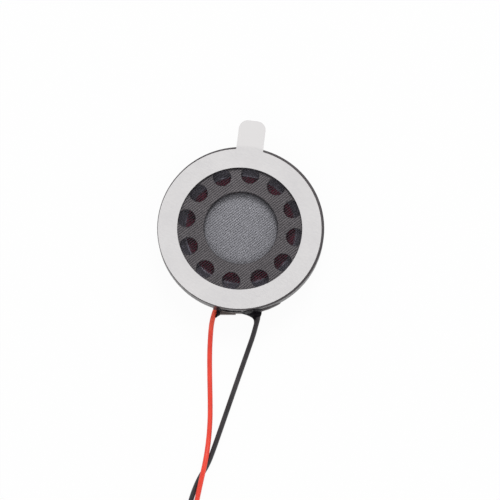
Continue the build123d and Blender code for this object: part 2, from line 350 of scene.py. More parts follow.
def ring_faces(rings, closed=False):
    """Quads between rings that run anticlockwise seen from the next; closed joins last to first."""
    count = len(rings[0])
    faces = []
    for k in range(len(rings) if closed else len(rings) - 1):
        a, b = k * count, (k + 1) % len(rings) * count
        for i in range(count):
            j = (i + 1) % count
            faces.append((a + i, a + j, b + j, b + i))
    return faces


def lofted(name, rings):
    """A closed skin through rings of points, with a fan at each end."""
    count = len(rings[0])
    points = [p for ring in rings for p in ring]
    faces = ring_faces(rings)
    for k, flip in ((0, True), (len(rings) - 1, False)):
        centre = len(points)
        points.append(sum((Vector(p) for p in rings[k]), Vector()) / count)
        for i in range(count):
            j = (i + 1) % count
            a, b = (j, i) if flip else (i, j)
            faces.append((centre, k * count + a, k * count + b))
    return add_mesh(name, points, faces)


def sheet_faces(steps_i, steps_k):
    """Faces of two grids of points, the first looking down and the second up."""
    across = steps_k + 1
    half = (steps_i + 1) * across
    faces = []
    for i in range(steps_i):
        for k in range(steps_k):
            a = i * across + k
            faces.append((a, a + 1, a + across + 1, a + across))
            faces.append((half + a, half + a + across, half + a + across + 1, half + a + 1))
    return faces


def bead_ring(centre, across, wide, tall, square, stray=0.0):
    """One upright section of a bead: a rounded square that grows round with square at 1."""
    ring = []
    for k in range(bead_sides):
        angle = 2 * math.pi * k / bead_sides
        c, d = math.cos(angle), math.sin(angle)
        x = math.copysign(abs(c) ** square, c) * wide
        z = math.copysign(abs(d) ** square, d) * tall
        at = Vector(centre) + Vector(across) * x + Vector((0, 0, z))
        ring.append(at + (at - Vector(centre)).normalized() * wander(at, stray, 1.7))
    return ring


def between(rows, share):
    """Values part of the way along rows, through a smooth curve."""
    place = share * (len(rows) - 1)
    k = min(int(place), len(rows) - 2)
    t = place - k
    before, a, b, after = (rows[min(max(k + i, 0), len(rows) - 1)] for i in (-1, 0, 1, 2))
    out = []
    for p0, p1, p2, p3 in zip(before, a, b, after):
        bend = (2 * p0 - 5 * p1 + 4 * p2 - p3) * t * t + (3 * p1 - p0 - 3 * p2 + p3) * t**3
        out.append(p1 + 0.5 * ((p2 - p0) * t + bend))
    return out


# ---- materials ----


def steel(name, colour, rough, grain_turn=0.0, grain=(0.6, 14.0, 14.0)):
    """Rolled or pressed steel: long grain, fine pits and faint stains."""
    finish = Finish(name, colour, metallic=1.0)
    along = finish.noise(1.0, 4.0, 0.6, grain_turn, grain)
    stain = finish.noise(0.35, 3.0)
    finish.tint(0.55 * along + 0.45 * stain, shaded(colour, 0.72), colour, 0.36, 0.62)
    finish.roughen(along, rough - 0.07, rough + 0.1)
    return finish.bump(along, 0.004)


def frame_finish():
    """Bright pressed steel, darker outside; the inside is painted lighter as painted light, and the
    folded lip a darker grey as painted shade.
    """
    finish = steel("frame_steel", rgb(84, 81, 82), 0.36, 0.0, (5.0, 5.0, 1.0))
    level = finish.axis(finish.place(), "Z") + 0.12 * finish.noise(3.0)
    # Painted light: steel inside the frame, seen through the holes, is painted lighter than the same
    # steel outside.
    outside = finish.range(finish.radius(), wall_r - 0.3, wall_r - 0.1)
    body = finish.mix(outside, rgb(126, 124, 128), finish.fed("Base Color"))
    # Painted shade: the top of the lip is painted a darker grey, for the dark line under the liner's
    # edge.
    finish.tint(level, body, rgb(90, 86, 88), front_z - 0.12, front_z - 0.04)
    finish.set("Roughness", finish.fed("Roughness") + 0.45 * (1 - outside))
    return finish


def paper_finish():
    """Siliconed liner, painted a little paler on the tab where no tape backs it, as painted light
    through the thin paper.
    """
    finish = Finish("release_paper", rgb(216, 214, 214), specular_ior_level=0.35)
    fibre = finish.noise(2.4, 5.0, 0.62, 0.5, (1.0, 3.2, 3.2))
    share = finish.range(0.6 * fibre + 0.4 * finish.noise(0.22, 3.0), 0.36, 0.64)
    white = finish.mix(share, rgb(202, 200, 201), rgb(212, 210, 210))
    # Painted light: the unbacked tab is painted paler than the taped ring, for light coming through the
    # paper.
    finish.tint(finish.radius(), white, rgb(215, 213, 213), wall_r - 0.15, wall_r + 0.1)
    finish.roughen(fibre, 0.5, 0.62)
    return finish.bump(fibre, 0.006)


def foam_finish():
    finish = Finish("tape_foam", rgb(30, 29, 32), specular_ior_level=0.3)
    cell = finish.cells(14.0)
    finish.tint(cell, rgb(20, 19, 22), rgb(46, 44, 47))
    finish.roughen(cell, 0.6, 0.85, 0.0, 1.0)
    return finish.bump(cell, 0.02)


def thread_finish(name, colour, shade, alpha):
    """Black monofilament, translucent enough to glow over a bright ground."""
    finish = Finish(name, colour, specular_ior_level=0.2, alpha=alpha)
    patch = finish.noise(0.5)
    strand = finish.noise(1.0, stretch=(9.0, 9.0, 30.0))
    finish.tint(0.5 * patch + 0.5 * strand, shade, colour, 0.35, 0.65)
    finish.roughen(strand, 0.42, 0.6)
    return finish.bump(strand, 0.004)


def film_finish(name, colour, metallic, rough, clear, hazed):
    """Thin plastic film: a share of mirror gives its gloss, and its haze sets how much shows."""
    finish = Finish(name, colour, metallic=metallic, roughness=rough, ior=1.5)
    haze = finish.noise(0.5, 3.0)
    edge_on = finish.term("ShaderNodeLayerWeight", {"Blend": 0.35}, "Facing")
    finish.set("Alpha", (finish.range(haze, 0.3, 0.7, clear, hazed) + 0.2 * edge_on).clipped())
    return finish.bump(haze, 0.003)


def roll_finish(*looks):
    """The roll's film, wetted clear by the bond, with a painted glint: a light ring of haze just past
    the bond's edge.
    """
    finish = film_finish(*looks)
    radius = finish.radius()
    wet = finish.range(radius, land_r - 0.25, land_r - 0.05, 0.2, 1.0)
    # Painted glint: the film is made more opaque in a thin patchy ring just past the bond's edge, so it
    # shows as a light line.
    painted_glint = finish.range((radius - (land_r + 0.06)).size(), 0.04, 0.15, 0.3, 0.0)
    patch = finish.range(finish.noise(0.7), 0.42, 0.6)
    finish.set("Alpha", (finish.fed("Alpha") * wet + painted_glint * patch).clipped())
    return finish


def dome_finish(name, colour, *looks):
    """The dome's film, painted darker at its foot as painted shade for the cover's shadow under the
    centre hole's edge.
    """
    finish = film_finish(name, colour, *looks)
    # Painted shade: the film's colour drops to an eighth of its brightness towards the dome's foot.
    finish.tint(finish.radius(), colour, shaded(colour, 0.12), dome_foot_r - 0.2, dome_foot_r + 0.1)
    return finish


def bond_finish():
    finish = Finish("red_bond", rgb(96, 6, 36), specular_ior_level=0.08)
    run = finish.noise(0.9)
    finish.tint(run, rgb(72, 2, 28), rgb(104, 6, 40), 0.35, 0.65)
    finish.roughen(run, 0.34, 0.5)
    return finish.bump(run, 0.02)


def copper_finish():
    """Enamelled wire, wound in level turns 0.08 apart."""
    finish = Finish("coil_copper", rgb(190, 96, 60), metallic=1.0, coat_weight=0.6, coat_roughness=0.1)
    turns = (finish.axis(finish.place(), "Z") * (math.pi / 0.08)).sine().size()
    finish.tint(finish.noise(1.2), rgb(150, 66, 40), rgb(206, 112, 70), 0.35, 0.65)
    finish.roughen(turns, 0.5, 0.26, 0.0, 1.0)
    return finish.bump(turns, 0.03)


def moulding_finish():
    finish = Finish("black_moulding", rgb(34, 33, 36), specular_ior_level=0.4)
    spark = finish.noise(9.0, 3.0)
    finish.tint(spark, rgb(27, 26, 29), rgb(42, 41, 45), 0.35, 0.65)
    finish.roughen(spark, 0.38, 0.55)
    return finish.bump(spark, 0.01)


def board_finish():
    """Glass laminate under a dark coating, its weave of 0.28 showing through."""
    finish = Finish("board_laminate", rgb(86, 76, 70), coat_weight=0.25, coat_roughness=0.2)
    across, along = ((finish.axis(finish.place(), axis) * (math.pi / 0.28)).sine() for axis in "XY")
    weave = finish.range(across * along, -1.0, 1.0)
    speck = finish.noise(6.0, 3.0)
    finish.tint(0.5 * weave + 0.5 * speck, rgb(80, 72, 69), rgb(106, 97, 93))
    finish.roughen(speck, 0.45, 0.65)
    return finish.bump(weave, 0.006)


def tin_finish():
    finish = Finish("solder_tin", rgb(205, 206, 208), metallic=1.0)
    grain = finish.cells(5.0)
    frost = finish.noise(7.0, 3.0)
    finish.tint(frost, rgb(176, 178, 182), rgb(222, 222, 222))
    finish.roughen(grain + 0.4 * frost, 0.14, 0.4, 0.1, 1.0)
    return finish.bump(grain, 0.012)


def glue_finish(name, colour, dusty):
    finish = Finish(name, colour, specular_ior_level=0.02)
    swell = finish.noise(1.6)
    finish.tint(finish.noise(12.0), colour, dusty, 0.4, 0.7)
    finish.roughen(swell, 0.24, 0.42)
    return finish.bump(swell, 0.03)


def sheath_finish(name, colour, shade, painted_light_colour, rough):
    """Extruded PVC, painted lighter near the frame as painted light against the disc's shadow on the
    lead.
    """
    finish = Finish(name, colour, specular_ior_level=0.45)
    cloud = finish.noise(0.6, 3.0)
    scuff = finish.noise(1.0, 4.0, 0.65, 0.0, (6.0, 1.2, 6.0))
    body = finish.mix(finish.range(0.6 * cloud + 0.4 * scuff, 0.36, 0.64), shade, colour)
    # Painted light: near the frame's edge the sheath is painted lighter, to cancel the disc's shadow on
    # the lead's top.
    finish.tint(finish.axis(finish.place(), "Y"), body, painted_light_colour, -wall_r - 2.6, -wall_r - 0.9)
    finish.roughen(scuff, rough - 0.08, rough + 0.1)
    return finish.bump(scuff, 0.008)


def felt_finish():
    looks = {"specular_ior_level": 0.2, "sheen_weight": 0.4, "sheen_roughness": 0.5}
    finish = Finish("damping_felt", rgb(52, 51, 54), **looks)
    fibre, cross = (finish.noise(2.5, 4.0, 0.7, turn, (1.0, 6.0, 6.0)) for turn in (0.4, -1.1))
    tangle = 0.5 * fibre + 0.5 * cross
    finish.tint(tangle, rgb(38, 37, 40), rgb(78, 76, 79), 0.38, 0.62)
    finish.roughen(tangle, 0.8, 0.95)
    return finish.bump(tangle, 0.03)


def band_finish():
    looks = {"coat_weight": 0.3, "coat_roughness": 0.1, "transmission_weight": 0.1}
    finish = Finish("band_film", rgb(206, 204, 196), **looks)
    crease = finish.noise(1.5, 3.0, 0.5, 0.8, (1.0, 5.0, 1.0))
    finish.roughen(crease, 0.2, 0.4)
    return finish.bump(crease, 0.02)


finishes = {
    "frame": frame_finish(),
    "yoke": steel("yoke_steel", rgb(176, 174, 172), 0.3, 0.35),
    "front_cover": steel("cover_steel", rgb(116, 112, 114), 0.5, 0.9),
    "top_plate": steel("plate_steel", rgb(214, 214, 218), 0.3, 0.2),
    "magnet": steel("magnet_plating", rgb(190, 190, 192), 0.22),
    "paper": paper_finish(),
    "foam": foam_finish(),
    "warp": thread_finish("warp_thread", rgb(82, 79, 85), rgb(62, 60, 65), 0.36),
    "weft": thread_finish("weft_thread", rgb(76, 74, 80), rgb(58, 56, 62), 0.08),
    "film": roll_finish("clear_film", rgb(168, 164, 180), 0.3, 0.45, 0.05, 0.10),
    "dome": dome_finish("dome_film", rgb(174, 174, 181), 0.0, 0.6, 0.8, 0.88),
    "bond": bond_finish(),
    "copper": copper_finish(),
    "moulding": moulding_finish(),
    "board": board_finish(),
    "tin": tin_finish(),
    "glue": glue_finish("black_glue", rgb(12, 10, 14), rgb(26, 24, 28)),
    "soaked": glue_finish("soaked_cloth", rgb(84, 80, 82), rgb(104, 100, 102)),
    "red": sheath_finish("red_sheath", rgb(238, 70, 50), rgb(224, 60, 44), rgb(255, 92, 68), 0.42),
    "black": sheath_finish("black_sheath", rgb(54, 50, 53), rgb(36, 33, 36), rgb(58, 54, 57), 0.4),
    "felt": felt_finish(),
    "band": band_finish(),
}

# CAD nodes by their finish.
finished_nodes = {
    "frame": ["frame"],
    "yoke": ["yoke"],
    "front_cover": ["front_cover"],
    "top_plate": ["top_plate"],
    "magnet": ["magnet"],
    "paper": ["release_liner"],
    "foam": ["adhesive_ring"],
    "warp": ["dust_mesh"],
    "film": ["diaphragm"],
    "bond": ["coil_bond_ring"],
    "copper": ["voice_coil", "coil_tail_red", "coil_tail_black"],
    "moulding": ["spacer_ring", "diaphragm_ring"],
    "board": ["terminal_board"],
    "tin": ["terminal_pads", "solder_joint_red", "solder_joint_black", "red_lead_tip", "black_lead_tip"],
    "glue": ["lead_glue_red", "lead_glue_black"],
    "red": ["red_lead"],
    "black": ["black_lead", "lead_coil"],
    "felt": ["vent_cloth"],
    "band": ["coil_tie"],
}
for finish, nodes in finished_nodes.items():
    for node in nodes:
        paint(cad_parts[node], finish)


# ---- camera ----

view_distance = 250.0
view_tilt = math.radians(12.0)
view_width = 59.64
view_centre = Vector((1.11, -2.74, 4.0))


def add_camera():
    camera = add_object("camera", bpy.data.cameras.new("camera"))
    back = Vector((0.0, -math.sin(view_tilt), math.cos(view_tilt)))
    camera.location = (view_centre + view_distance * back) * MM
    camera.rotation_euler = (view_tilt, 0.0, 0.0)
    camera.data.lens = camera.data.sensor_width * view_distance / view_width
    camera.data.clip_start = 10 * MM
    scene.camera = camera


add_camera()


# ---- leads ----

lead_d = 0.6
lead_z = pad_z - 0.335
floor_z = 0.305
cross_z = 0.94

# Axis points from where the insulation begins: x, y from the frame's edge, z.
routes = {
    "red": [
        (-2.911, 0.909, lead_z),
        (-3.17, 0.25, lead_z),
        (-3.50, -1.00, 0.80),
        (-3.63, -2.40, 0.52),
        (-3.72, -4.10, floor_z),
        (-3.73, -6.40, floor_z),
        (-3.61, -11.60, floor_z),
        (-3.70, -13.80, floor_z),
        (-3.84, -15.30, 0.36),
        (-4.00, -16.60, 0.66),
        (-4.21, -17.85, cross_z),
        (-4.50, -19.20, cross_z),
        (-4.79, -20.50, 0.86),
        (-5.08, -21.85, 0.64),
        (-5.40, -23.30, 0.40),
        (-5.78, -25.20, floor_z),
        (-6.10, -27.10, floor_z),
    ],
    "black": [
        (2.059, 0.857, lead_z),
        (2.17, 0.00, lead_z),
        (1.85, -1.20, 0.78),
        (1.49, -2.50, 0.50),
        (0.96, -4.00, floor_z),
        (-0.50, -8.20, floor_z),
        (-3.32, -16.50, floor_z),
        (-3.98, -18.10, floor_z),
        (-4.88, -19.55, floor_z),
        (-5.58, -21.20, floor_z),
        (-6.10, -23.00, floor_z),
        (-6.48, -24.85, floor_z),
        (-6.76, -26.80, floor_z),
    ],
}

# The put-away coil: each turn lies flat and climbs to the next layer over its last share.
coil_centre = (low("lead_coil") + high("lead_coil")) / 2 / MM
coil_floor = low("lead_coil").z / MM + lead_d / 2
coil_step = 0.61
climb_share = 0.16
turn_r = {"red": 3.92, "black": 3.3}
turns = {"red": 2.8, "black": 3.306}
points_per_turn = 18

tip_length = 2.5
tip_overlap = 0.12
strand_d = 0.11
strand_lay_r = 0.112
strand_pitch = 2.2
strand_steps = 24

tie_at = math.radians(135)
tie_width = 1.3
tie_t = 0.07
tie_corner_r = 0.26


def coil_point(colour, turn):
    """A point of the coil, wound clockwise from the side that the leads come in on."""
    angle = -2 * math.pi * turn
    layer = math.floor(turn)
    climb = max(0.0, (turn - layer - 1 + climb_share) / climb_share)
    climb = climb * climb * (3 - 2 * climb)
    return Vector((
        coil_centre.x + turn_r[colour] * math.cos(angle),
        coil_centre.y + turn_r[colour] * math.sin(angle),
        coil_floor + coil_step * (layer + climb),
    ))


def coil_control(colour):
    """Control points, set out so that the spline runs at the turns' radius."""
    count = round(turns[colour] * points_per_turn)
    step = turns[colour] / count
    out = 1 / math.cos(math.pi * step)
    points = [coil_point(colour, k * step) for k in range(count + 1)]
    for point in points[1:-1]:
        point.x = coil_centre.x + (point.x - coil_centre.x) * out
        point.y = coil_centre.y + (point.y - coil_centre.y) * out
    return points


def spline_object(name, points, thickness, sides=6):
    curve = new_curve(name, thickness, sides)
    curve.resolution_u = 6
    spline = curve.splines.new("NURBS")
    spline.points.add(len(points) - 1)
    for slot, point in zip(spline.points, points):
        slot.co = (*(Vector(point) * MM), 1.0)
    spline.order_u = 3
    spline.use_endpoint_u = True
    return add_object(name, curve)


def add_lead(colour):
    laid = [(x, y - wall_r, z) for x, y, z in routes[colour]]
    lead = spline_object(colour + "_hookup_lead", laid + coil_control(colour), lead_d)
    return finish_piece(lead, colour, "sheath_" + colour, "casing", colour + "_lead", "lead_coil")


def strand_bundle(name, path, length, reach, fan=0.0):
    """Seven tinned strands, twisted, along a path given for shares from 0 to reach."""
    curve = new_curve(name, strand_d, 2)
    for strand in range(7):
        spline = curve.splines.new("POLY")
        spline.points.add(strand_steps)
        for k, slot in enumerate(spline.points):
            share = reach * k / strand_steps
            along = (path(share + 0.01) - path(share - 0.01)).normalized()
            side = along.cross(Vector((0, 0, 1))).normalized()
            phase = 2 * math.pi * (strand / 6 + share * length / strand_pitch)
            spread = strand_lay_r * (1 + fan * max(0.0, share - 0.7)) if strand < 6 else 0.0
            at = path(share) + side * spread * math.cos(phase)
            at += side.cross(along) * spread * math.sin(phase)
            slot.co = (*(at * MM), 1.0)
    return as_mesh(add_object(name + "_curve", curve), name)


def add_tip(colour):
    """Tinned strands that run on from the lead's end along the coil."""
    turns_per_tip = tip_length / turn_r[colour] / (2 * math.pi)

    def path(share):
        return coil_point(colour, turns[colour] + (share - tip_overlap) * turns_per_tip)

    tip = strand_bundle(colour + "_bare_strands", path, tip_length, 1.0, 2.0)
    return finish_piece(tip, "tin", "tinned_copper", "casing", colour + "_lead_tip")


def add_tie():
    """Clear band wrapped once round the turns."""
    inner_r, outer_r = turn_r["black"] - lead_d / 2, turn_r["red"] + lead_d / 2
    bottom, top = coil_floor - lead_d / 2, coil_floor + 2 * coil_step + lead_d / 2
    near, far = inner_r + tie_corner_r, outer_r - tie_corner_r
    under, over = bottom + tie_corner_r, top - tie_corner_r
    rings = []
    for x, z, start in ((far, over, 0), (near, over, 90), (near, under, 180), (far, under, 270)):
        for k in range(5):
            angle = math.radians(start + 22.5 * k)
            ring = []
            for side, lift in ((-0.5, 0.0), (-0.5, tie_t), (0.5, tie_t), (0.5, 0.0)):
                radius = x + math.cos(angle) * (tie_corner_r + lift)
                way = tie_at + side * tie_width / radius
                ring.append((
                    coil_centre.x + radius * math.cos(way),
                    coil_centre.y + radius * math.sin(way),
                    z + math.sin(angle) * (tie_corner_r + lift),
                ))
            rings.append(ring)
    tie = add_mesh("coil_band", [p for ring in rings for p in ring], ring_faces(rings, closed=True))
    finish_piece(tie, "band", "tie_clear", "casing", "coil_tie")


leads = {colour: add_lead(colour) for colour in routes}
tips = {colour: add_tip(colour) for colour in routes}
add_tie()


# ---- glue and solder ----

# Sections of each bead of glue: y from the frame's edge, left, right, lower and upper side.
bead_sections = {
    "red": [
        (0.40, -2.94, -2.30, 0.64, 1.80),
        (0.06, -2.94, -2.38, 0.60, 1.72),
        (-0.08, -2.96, -2.54, 0.57, 1.50),
        (-0.18, -3.00, -2.72, 0.57, 1.30),
        (-0.28, -3.06, -2.88, 0.60, 1.12),
        (-0.38, -3.12, -2.98, 0.66, 1.00),
    ],
    "black": [
        (0.40, 0.00, 2.55, 0.66, 1.85),
        (0.08, 0.12, 2.50, 0.60, 1.80),
        (-0.12, 0.76, 2.44, 0.57, 1.66),
        (-0.30, 1.24, 2.36, 0.54, 1.26),
        (-0.48, 1.46, 2.29, 0.51, 1.06),
        (-0.72, 1.58, 2.20, 0.48, 0.94),
        (-1.02, 1.58, 2.08, 0.47, 0.84),
    ],
}
bead_steps = 25
bead_square = 0.86
bead_stray = 0.09

# Patches on the wall: from and to in x at the foot, the same at the head, from and to in z.
smears = {
    "red": (-3.02, -2.16, -2.86, -2.40, 1.20, 3.72),
    "black": (-0.24, 2.56, 0.60, 2.46, 1.20, 3.94),
}
# The board seam is partly the glue between board and frame and partly painted shade: a black strip where
# the gap under the frame's bend is in shade.
seam = (-2.50, 0.20, -2.50, 0.20, 2.38, 2.94)
glue_run = (2.20, 5.00, 2.20, 4.50, 1.74, 2.60)
board_lip = (-2.50, 0.04, -2.50, 0.04, 1.60, 2.44)
patch_back = -0.03
patch_steps = (40, 34)

# Solder joints: where each stands, and its sections as (radius, drop under the pad).
joint_at = {"red": (-2.6, -8.30), "black": (1.95, -8.30)}
joint_sections = [(0.79, 0.0), (0.78, 0.03), (0.7, 0.1), (0.58, 0.2)]
joint_sections += [(0.47, 0.32), (0.36, 0.44), (0.23, 0.54), (0.08, 0.595)]
joint_sides = 48
joint_stray = 0.16
held_length = 0.95


def on_wall(x, z, proud):
    """A point near the frame's wall at the lead side."""
    angle = math.asin(x / wall_r)
    return ((wall_r + proud) * math.sin(angle), -(wall_r + proud) * math.cos(angle), z)


def add_bead(colour):
    """Glue that fills the corner between the board, the wall and the lead."""
    rings = []
    for k in range(bead_steps + 1):
        y, left, right, bottom, top = between(bead_sections[colour], k / bead_steps)
        centre = ((left + right) / 2, y - wall_r, (bottom + top) / 2)
        wide, tall = (right - left) / 2, (top - bottom) / 2
        rings.append(bead_ring(centre, (1, 0, 0), wide, tall, bead_square, bead_stray))
    bead = lofted(colour + "_lead_bead", rings)
    finish_piece(bead, "glue", "glue_black", "casing", "lead_glue_" + colour)


def add_patch(name, span, thick, stray, corner, finish, slot, *nodes):
    """Skin on the frame's wall, uneven at its edges, with its corners drawn in.

    thick is its thickness at the low and the high end in x, stray how uneven it is."""
    foot_from, foot_to, head_from, head_to, z_from, z_to = span
    thick_from, thick_to = thick
    steps_x, steps_z = patch_steps
    fronts, backs = [], []
    for i in range(steps_x + 1):
        for k in range(steps_z + 1):
            u, v = 2 * i / steps_x - 1, 2 * k / steps_z - 1
            height = 0.5 + 0.5 * v * math.sqrt(1 - corner * u * u)
            width = 0.5 + 0.5 * u * math.sqrt(1 - corner * v * v)
            x_from = foot_from + (head_from - foot_from) * height
            x_to = foot_to + (head_to - foot_to) * height
            x = x_from + (x_to - x_from) * width
            z = z_from + (z_to - z_from) * height
            x += wander((x, 0, z), 0.12 * stray, 1.1) * (1 - abs(u) ** 6)
            z += wander((x, 3, z), 0.22 * stray, 1.0) * abs(v)
            edge = max(0.0, 1 - max(abs(u), abs(v)) ** 5) ** 0.5
            swell = 1 + wander((x, 5, z), 0.5 * stray, 1.6)
            proud = (thick_from + (thick_to - thick_from) * i / steps_x - patch_back) * edge * swell
            fronts.append(on_wall(x, z, patch_back + proud))
            backs.append(on_wall(x, z, patch_back))
    patch = add_mesh(name, backs + fronts, sheet_faces(steps_x, steps_z))
    weld(patch)
    finish_piece(patch, finish, slot, "casing", *nodes)


def add_joint(colour):
    """Solder drawn up over the pad into a peak, and the bare strands that it holds."""
    node = "solder_joint_" + colour
    x, y = joint_at[colour]
    foot = Vector((x, y, pad_z))
    rings = []
    for radius, drop in joint_sections:
        ring = []
        for k in range(joint_sides):
            angle = -2 * math.pi * k / joint_sides
            at = Vector((math.cos(angle), math.sin(angle), 0.0)) * radius
            at *= 1 + wander(foot + at, joint_stray, 1.5) * min(1.0, drop * 6)
            ring.append(foot + at - Vector((0, 0, drop)))
        rings.append(ring)
    joint = lofted(colour + "_solder_cone", rings)
    weld(joint)
    finish_piece(joint, "tin", "solder_tin", "casing", node)
    start = Vector(routes[colour][0])
    start.y -= wall_r
    core = Vector((x, y, start.z))
    name = colour + "_joint_strands"
    strands = strand_bundle(name, lambda share: core.lerp(start, share), held_length, 1.02)
    finish_piece(strands, "tin", "solder_tin", "casing", node)


for colour in routes:
    add_joint(colour)
    add_bead(colour)
    node = "lead_glue_" + colour
    add_patch(colour + "_glue_smear", smears[colour], (0.11, 0.11), 1.5, 0.5, "glue", "glue_black", node)
# Black strip at the board's edge: glue, and painted shade for the shaded gap under the frame.
add_patch("board_seam", seam, (0.09, 0.09), 0.8, 0.3, "glue", "glue_black", "lead_glue_black")
add_patch("glue_run", glue_run, (0.19, 0.05), 0.5, 0.25, "soaked", "glue_black", "lead_glue_black")
add_patch("board_edge_lip", board_lip, (0.07, 0.07), 0.2, 0.1, "board", "board_laminate")


# ---- diaphragm and tails ----

film_t = 0.06
film_steps = 192
dome_rise = 0.35
dome_rings = 12
flat_rings = (5.2, 5.9)
roll_rise = 0.324
roll_rings = 24
rib_count = 36
rib_depth = 0.018
rib_slant = 2 * math.pi
tail_d = 0.08


def film_profile(points):
    return [(radius, z, z + film_t) for radius, z in points]


def add_dome():
    ball_r = (dome_foot_r**2 + dome_rise**2) / (2 * dome_rise)
    line = []
    for k in range(dome_rings + 1):
        radius = dome_foot_r * k / dome_rings
        line.append((radius, land_z + math.sqrt(ball_r**2 - radius**2) - ball_r + dome_rise))
    line += [(dome_foot_r + 0.08, land_z), (coil_in_r, land_z)]
    dome = turned_shell("film_dome", film_profile(line), film_steps)
    finish_piece(dome, "dome", "film", "moving_coil", "diaphragm")


def roll_ribs(radius, angle):
    """Slanting ribs that let the roll flex, fading out at its two edges."""
    share = (radius - land_r) / (clamp_in_r - land_r)
    if not 0 < share < 1:
        return 0.0
    wave = math.sin(rib_count * angle + rib_slant * share)
    return rib_depth * math.sin(math.pi * share) ** 2 * wave


def add_roll():
    """The flat land over the coil, the half-round roll and the rim that is clamped."""
    line = [(radius, land_z) for radius in (coil_in_r, *flat_rings)]
    for k in range(roll_rings + 1):
        share = k / roll_rings
        rise = roll_rise * math.sin(math.pi * share) ** 0.9 if 0 < share < 1 else 0.0
        radius = land_r + (clamp_in_r - land_r) * share
        line.append((radius, land_z + (rim_z - land_z) * share + rise))
    line.append((film_edge_r, rim_z))
    roll = turned_shell("film_roll", film_profile(line), film_steps, roll_ribs)
    finish_piece(roll, "film", "film", None, "diaphragm")
    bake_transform(roll)


def add_tail(colour):
    """Fine wire from the coil, under the film, down through frame and board."""
    sign = 1 if colour == "black" else -1
    node = "coil_tail_" + colour
    outer = (low(node).x if sign < 0 else high(node).x) / MM - sign * tail_d / 2
    near, far = high(node).y / MM, low(node).y / MM + tail_d / 2
    level = high(node).z / MM - tail_d / 2
    points = [
        (sign * 1.0, near - 0.02, level),
        (sign * 1.12, near - 0.5, level),
        (sign * 1.3, (near + far) / 2, level),
        (outer - sign * 0.3, far + 0.12, level),
        (outer, far, level),
        (outer, far, level - 0.35),
        (outer, far, (level + pad_z) / 2),
        (outer, far, pad_z),
    ]
    tail = as_mesh(spline_object(node + "_curve", points, tail_d, 3), colour + "_tail_wire")
    finish_piece(tail, "copper", "coil_copper", None, node)
    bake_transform(tail)


add_dome()
add_roll()
for colour in routes:
    add_tail(colour)


# ---- growing pieces from geometry trees ----


def geometry_tree(name, inputs):
    """The nodes and the given sockets of a tree with named inputs of given kinds."""
    tree = bpy.data.node_groups.new(name, "GeometryNodeTree")
    tree.interface.new_socket("Geometry", in_out="OUTPUT", socket_type="NodeSocketGeometry")
    for key, kind in inputs.items():
        tree.interface.new_socket(key, in_out="INPUT", socket_type="NodeSocket" + kind)
    n = Nodes(tree)
    return n, n.node("NodeGroupInput").outputs


def grow(name, tree, holder=None, **inputs):
    """A plain mesh that a geometry tree makes from named inputs and the holder's mesh, if any."""
    if not holder:
        holder = add_object(name + "_holder", bpy.data.meshes.new(name + "_holder"))
    modifier = holder.modifiers.new("grow", "NODES")
    modifier.node_group = tree
    sockets = {s.name: s.identifier for s in tree.interface.items_tree if s.in_out == "INPUT"}
    for key, value in inputs.items():
        modifier[sockets[key.replace("_", " ")]] = value
    return as_mesh(holder, name)


# ---- woven cloth ----

mesh_pitch = 0.26
warp_turn = 38
warp_w = 0.115
weft_w = 0.1
thread_jitter = 0.012
cloth_edge_w = 0.45
cloth_edge_sections = 240


def thread_family(n, given, turn, width, parity, finish):
    """Parallel threads of a round cloth, over and under the ones that cross them."""
    names = ("Pitch", "Radius", "Count", "Wave", "Height", "Jitter")
    pitch, radius, count, wave, level, jitter = (Term(n, given[name]) for name in names)
    span = pitch * count
    sizes = {"Size X": span, "Size Y": span, "Vertices X": 2 * count + 1, "Vertices Y": count + 1}
    grid = n.term("GeometryNodeMeshGrid", sizes)
    place = n.term("GeometryNodeInputPosition")
    x, y = n.axis(place, "X"), n.axis(place, "Y")
    half = (radius * radius - y * y).math("MAXIMUM", 0.0).math("SQRT")
    row = (y / pitch).math("ROUND")
    rise = ((x / pitch + row + parity) * math.pi).math("COSINE") * wave + level
    kept_x = x.math("MINIMUM", half).math("MAXIMUM", 0 - half)
    draw = {2: -1.0, 3: 1.0, "ID": row, "Seed": turn}
    stray = n.term("FunctionNodeRandomValue", draw, 1)
    moved = n.vector(kept_x, y + stray * jitter, rise)
    outside = y.size().above(radius - pitch * 0.2)
    ends = n.node("GeometryNodeInputMeshEdgeVertices").outputs
    step = n.axis(ends["Position 1"], "Y") - n.axis(ends["Position 2"], "Y")
    cut = {"Geometry": grid, "Selection": step.size().above(pitch * 0.5)}
    rows = n.term("GeometryNodeDeleteGeometry", cut, domain="EDGE", mode="EDGE_FACE")
    kept = n.term("GeometryNodeDeleteGeometry", {"Geometry": rows, "Selection": outside})
    shaped = n.term("GeometryNodeSetPosition", {"Geometry": kept, "Position": moved})
    merged = n.term("GeometryNodeMergeByDistance", {"Geometry": shaped, "Distance": 1e-6})
    curve = n.term("GeometryNodeMeshToCurve", {"Mesh": merged})
    upright = n.term("GeometryNodeSetCurveNormal", {"Curve": curve}, mode="Z_UP")
    section = n.term("GeometryNodeCurvePrimitiveCircle", {"Resolution": 5, "Radius": 0.5})
    flat = n.vector(width, given["Thickness"], 1.0)
    section = n.term("GeometryNodeTransform", {"Geometry": section, "Scale": flat})
    swept = {"Curve": upright, "Profile Curve": section, "Fill Caps": True}
    tube = n.term("GeometryNodeCurveToMesh", swept)
    turned = {"Geometry": tube, "Rotation": (0.0, 0.0, math.radians(turn))}
    laid = n.term("GeometryNodeTransform", turned)
    return n.term("GeometryNodeSetMaterial", {"Geometry": laid, "Material": finish.material})


